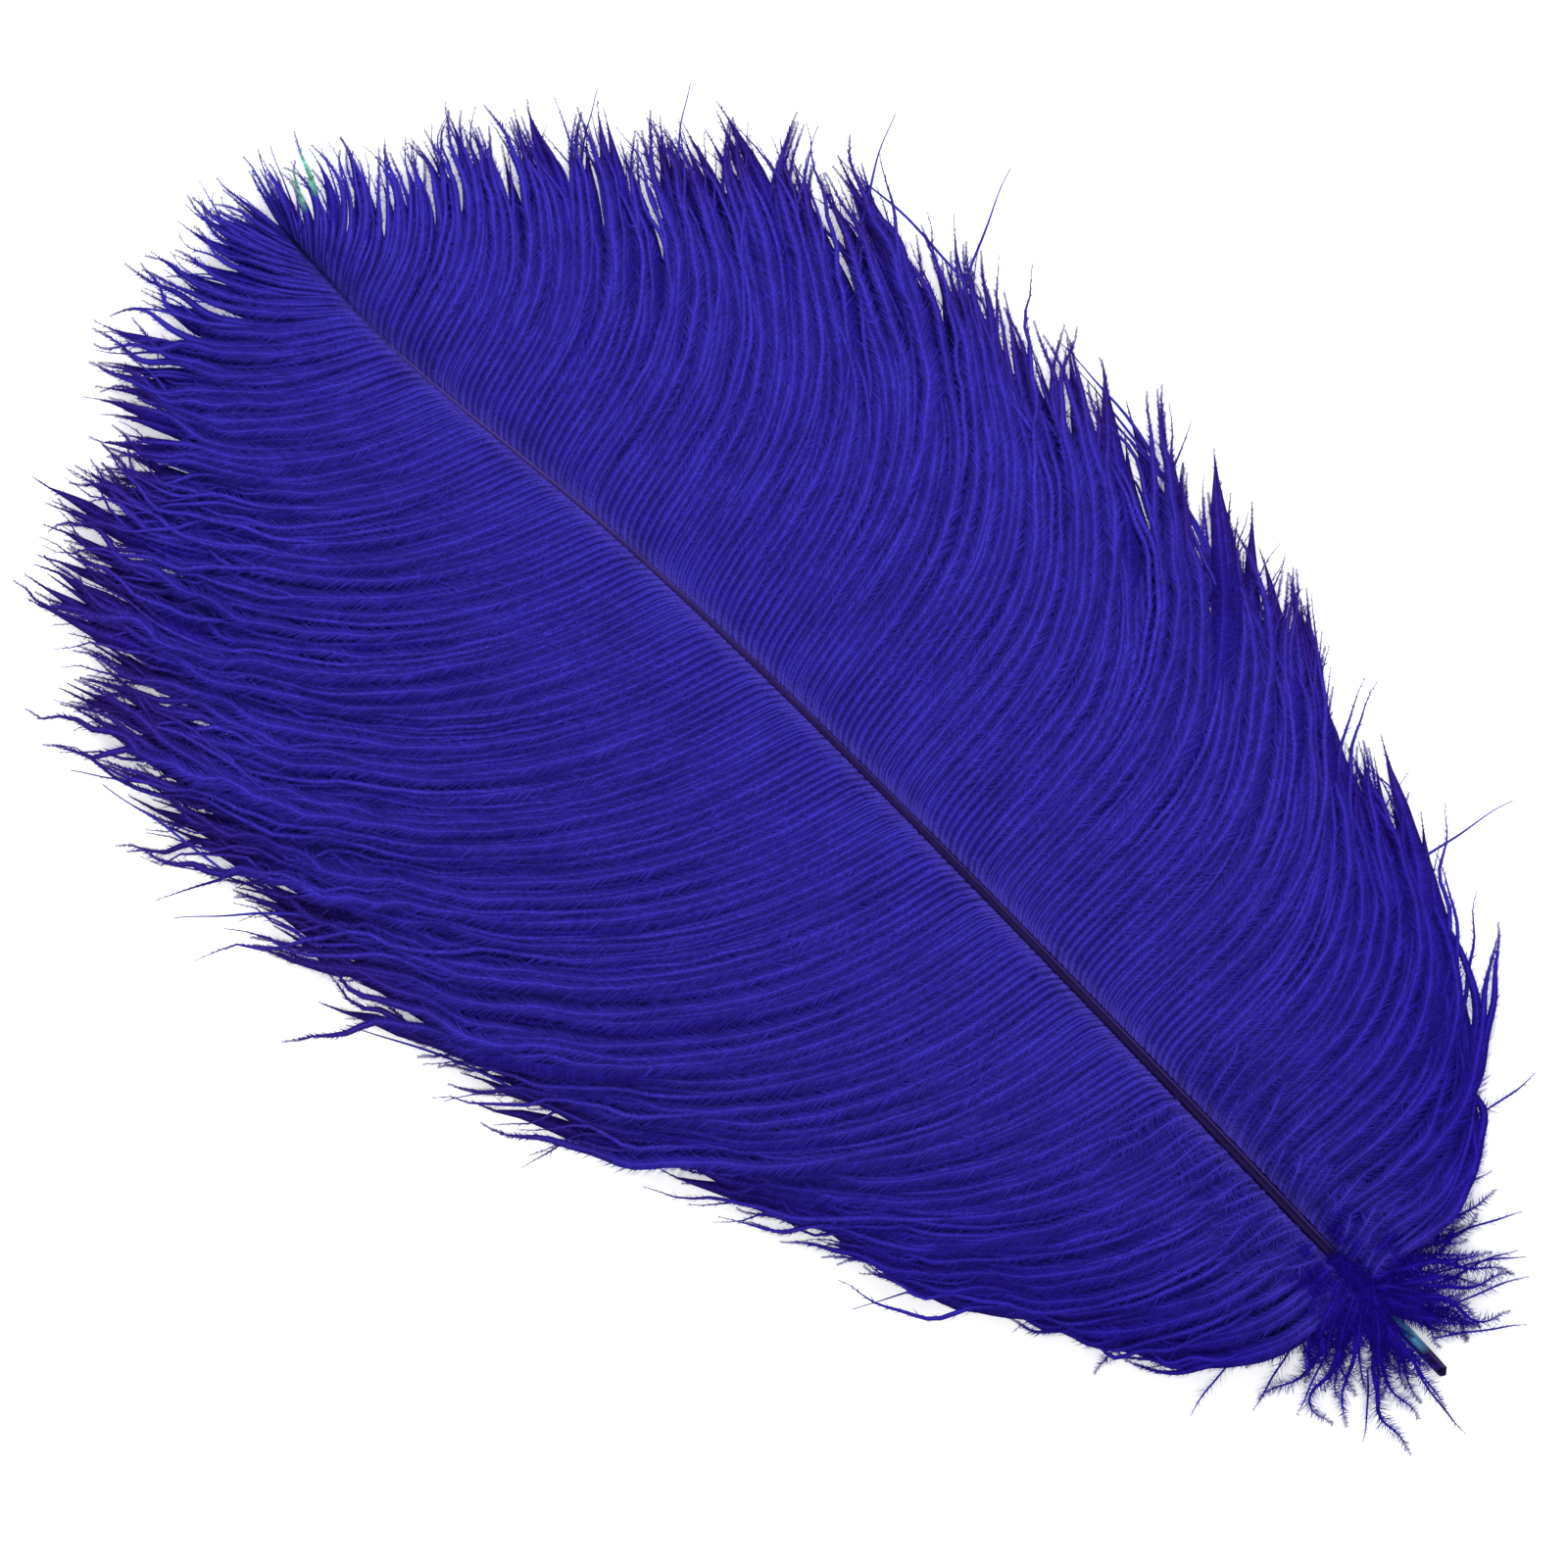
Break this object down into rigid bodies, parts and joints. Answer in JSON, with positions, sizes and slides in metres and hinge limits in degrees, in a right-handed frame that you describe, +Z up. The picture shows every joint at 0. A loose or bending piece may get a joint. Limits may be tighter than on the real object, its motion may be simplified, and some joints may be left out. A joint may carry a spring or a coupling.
{
  "type": "ostrich feather",
  "caption": "Dyed ostrich plume lying flat: a slim arched shaft, soft vanes of long barbs that bend towards the tip on both sides, and loose down round the quill.",
  "frame": {"origin": "middle of the base of the box, on the surface that the feather lies on", "axes": "+X along the shaft from the cut quill end to the tip, +Y to the wider vane, +Z up out of the rounded side"},
  "size_m": [0.414, 0.2552, 0.0201],
  "materials": {
    "plume": "soft matt dyed barbs, royal blue with darker violet tips",
    "quill": "smooth glossy dyed keratin, near-black violet"
  },
  "bodies": {
    "root": {"ostrich_feather": "plume"}
  },
  "joints": []
}
